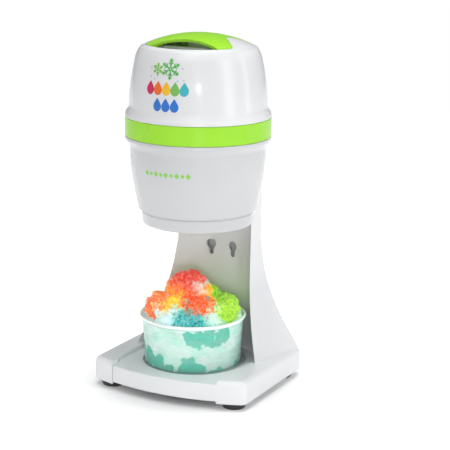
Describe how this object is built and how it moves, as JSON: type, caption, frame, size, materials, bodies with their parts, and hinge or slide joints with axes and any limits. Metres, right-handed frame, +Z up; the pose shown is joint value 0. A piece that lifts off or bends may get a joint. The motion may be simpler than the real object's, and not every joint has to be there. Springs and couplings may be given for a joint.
{
  "type": "shaved ice machine",
  "caption": "Electric table-top shaved ice machine: domed motor head with grip over a round ice bowl, on a concave column and a low base with a cup seat.",
  "frame": {"origin": "on the axis of the round head, at the height of the surface the feet stand on", "axes": "+Z up along the head axis, -Y towards the front, +X to the right of a person who faces the front"},
  "size_m": [0.1986, 0.176, 0.4137],
  "materials": {
    "white_shell": "gloss",
    "lime_trim": "gloss",
    "black_rubber": "satin",
    "dark_plastic": "matte",
    "gear_plastic": "matte",
    "stainless": "brushed",
    "motor_steel": "satin",
    "spring_steel": "satin",
    "bronze": "satin",
    "seal_rubber": "matte",
    "cup_plastic": "translucent",
    "shaved_ice": "crystalline"
  },
  "bodies": {
    "stand": {"base_shell": "white_shell", "tray_plate": "white_shell", "bottom_plate": "white_shell", "foot_front_left": "black_rubber", "foot_front_right": "black_rubber", "foot_rear_left": "black_rubber", "foot_rear_right": "black_rubber", "foot_screws": "stainless", "rear_cover": "white_shell", "cover_screws": "stainless", "neck_bracket": "white_shell", "bowl_shell": "white_shell", "chute_ring": "white_shell", "ice_chamber": "white_shell", "blade_plate": "stainless", "blade": "stainless", "blade_screws": "stainless", "contact_socket": "dark_plastic", "cord_gland": "dark_plastic", "inner_lead": "dark_plastic"},
    "lock_ring": {"lock_ring": "lime_trim"},
    "motor_head": {"head_cover": "white_shell", "handle_well": "white_shell", "head_floor": "white_shell", "seal_ring": "seal_rubber", "bearing": "bronze", "gear_plate": "stainless", "gear_plate_screws": "stainless", "motor": "motor_steel", "micro_switch": "dark_plastic", "contact_plug": "dark_plastic", "handle_springs": "spring_steel"},
    "handle": {"handle": "lime_trim", "switch_plunger": "gear_plastic"},
    "drive_train": {"drive_gear": "gear_plastic", "spindle": "motor_steel"},
    "motor_rotor": {"motor_pinion": "motor_steel"},
    "presser": {"presser_disc": "stainless", "presser_hub": "stainless", "presser_spring": "spring_steel"},
    "cup": {"cup": "cup_plastic", "shaved_ice": "shaved_ice"}
  },
  "joints": [
    {"name": "lock_ring_turn", "type": "hinge", "parent": "stand", "child": "lock_ring", "pos_m": [0, 0, 0.308], "axis": [0, 0, 1], "range_deg": [0, 25]},
    {"name": "head_lift", "type": "slide", "parent": "stand", "child": "motor_head", "axis": [0, 0, 1], "range_m": [0, 0.14]},
    {"name": "handle_press", "type": "slide", "parent": "motor_head", "child": "handle", "axis": [0, 0, -1], "range_m": [0, 0.004], "stiffness_N_per_m": 1200, "springref_m": -0.003, "deforming": ["handle_springs"]},
    {"name": "gear_spin", "type": "hinge", "parent": "motor_head", "child": "drive_train", "pos_m": [0, 0, 0.33], "axis": [0, 0, 1], "continuous": true},
    {"name": "motor_spin", "type": "hinge", "parent": "motor_head", "child": "motor_rotor", "pos_m": [0.0301, 0, 0.33], "axis": [0, 0, 1], "continuous": true},
    {"name": "presser_slide", "type": "slide", "parent": "drive_train", "child": "presser", "axis": [0, 0, 1], "range_m": [0, 0.036], "stiffness_N_per_m": 150, "springref_m": -0.02, "deforming": ["presser_spring"]},
    {"name": "cup_lift", "type": "slide", "parent": "stand", "child": "cup", "axis": [0, 0, 1], "range_m": [0, 0.03]}
  ],
  "couplings": [
    {"joint": "motor_spin", "follows": "gear_spin", "ratio": -4}
  ]
}
